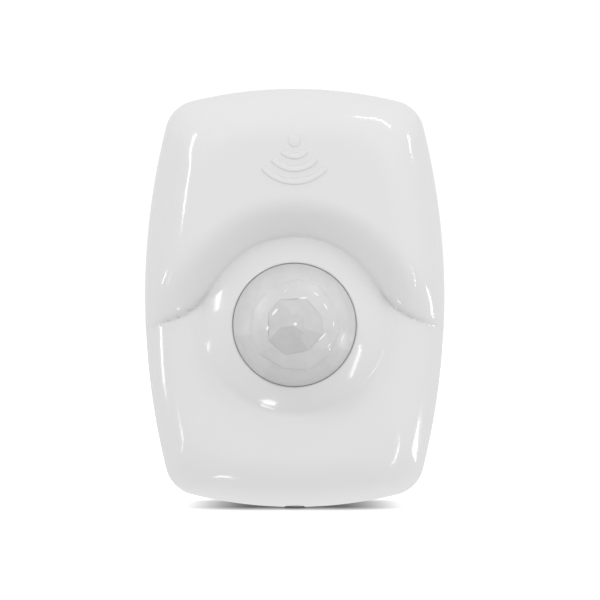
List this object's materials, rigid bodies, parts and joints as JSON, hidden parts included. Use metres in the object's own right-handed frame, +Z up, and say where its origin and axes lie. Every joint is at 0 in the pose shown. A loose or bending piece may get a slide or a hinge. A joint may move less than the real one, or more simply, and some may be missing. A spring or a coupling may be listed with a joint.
{
  "type": "wall-mounted passive infrared motion detector",
  "caption": "White wall-mounted motion detector: a hooded cover with a milky dome lens in a ball-shaped collar, on a flat back plate with its circuit inside.",
  "frame": {"origin": "centre of the back face, on the wall", "axes": "+Z up, +Y into the wall, so the lens faces -Y, +X to the right as seen from the front"},
  "size_m": [0.0734, 0.035, 0.1024],
  "materials": {
    "base_plastic": "satin moulded",
    "cover_plastic": "glossy moulded",
    "lens_plastic": "milky translucent",
    "ring_plastic": "satin",
    "plated_steel": "zinc plated",
    "board_laminate": "solder mask",
    "black_plastic": "satin",
    "sensor_can": "nickel plated",
    "sensor_window": "polished dark filter",
    "tinned_lead": "tinned",
    "red_plastic": "clear tinted",
    "terminal_plastic": "satin",
    "clamp_brass": "plain",
    "button_plastic": "satin",
    "spring_steel": "drawn",
    "trimmer_plastic": "satin",
    "rotor_plastic": "satin",
    "jumper_plastic": "satin",
    "chip_epoxy": "moulded epoxy",
    "relay_plastic": "satin",
    "capacitor_can": "drawn can",
    "resistor_ceramic": "ceramic",
    "capacitor_ceramic": "ceramic"
  },
  "bodies": {
    "base": {"back_plate": "base_plastic", "cover_screw": "plated_steel", "board_screws": "plated_steel", "circuit_board": "board_laminate", "pir_spacer": "black_plastic", "pir_sensor": "sensor_can", "pir_window": "sensor_window", "pir_leads": "tinned_lead", "indicator_led": "red_plastic", "terminal_housing": "terminal_plastic", "terminal_cages": "clamp_brass", "terminal_screws": "plated_steel", "tamper_switch": "black_plastic", "tamper_spring": "spring_steel", "range_trimmer": "trimmer_plastic", "timer_trimmer": "trimmer_plastic", "jumper_bases": "black_plastic", "jumper_pins": "tinned_lead", "processor_chip": "chip_epoxy", "amplifier_chip": "chip_epoxy", "chip_leads": "tinned_lead", "alarm_relay": "relay_plastic", "filter_capacitors": "capacitor_can", "input_diode": "chip_epoxy", "chip_resistors": "resistor_ceramic", "chip_capacitors": "capacitor_ceramic"},
    "cover": {"front_cover": "cover_plastic", "fresnel_lens": "lens_plastic", "lens_retainer": "ring_plastic"},
    "tamper_button": {"tamper_plunger": "button_plastic"},
    "range_dial": {"range_rotor": "rotor_plastic"},
    "timer_dial": {"timer_rotor": "rotor_plastic"},
    "pulse_link": {"pulse_jumper": "jumper_plastic"},
    "led_link": {"led_jumper": "jumper_plastic"}
  },
  "joints": [
    {"name": "cover_swing", "type": "hinge", "parent": "base", "child": "cover", "pos_m": [0, -0.0024, 0.05125], "axis": [-1, 0, 0], "range_deg": [0, 35]},
    {"name": "tamper_press", "type": "slide", "parent": "base", "child": "tamper_button", "axis": [0, -1, 0], "range_m": [0, 0.0015], "stiffness_N_per_m": 120, "springref_m": 0.0025, "deforming": ["tamper_spring"]},
    {"name": "range_turn", "type": "hinge", "parent": "base", "child": "range_dial", "pos_m": [0.022, -0.0125, 0.008], "axis": [0, -1, 0], "range_deg": [-105, 105]},
    {"name": "timer_turn", "type": "hinge", "parent": "base", "child": "timer_dial", "pos_m": [0.022, -0.0125, 0.016], "axis": [0, -1, 0], "range_deg": [-105, 105]},
    {"name": "pulse_pull", "type": "slide", "parent": "base", "child": "pulse_link", "axis": [0, -1, 0], "range_m": [0, 0.0052]},
    {"name": "led_pull", "type": "slide", "parent": "base", "child": "led_link", "axis": [0, -1, 0], "range_m": [0, 0.0052]}
  ],
  "couplings": [
    {"joint": "tamper_press", "follows": "cover_swing", "m_per_rad": 0.0024531}
  ]
}
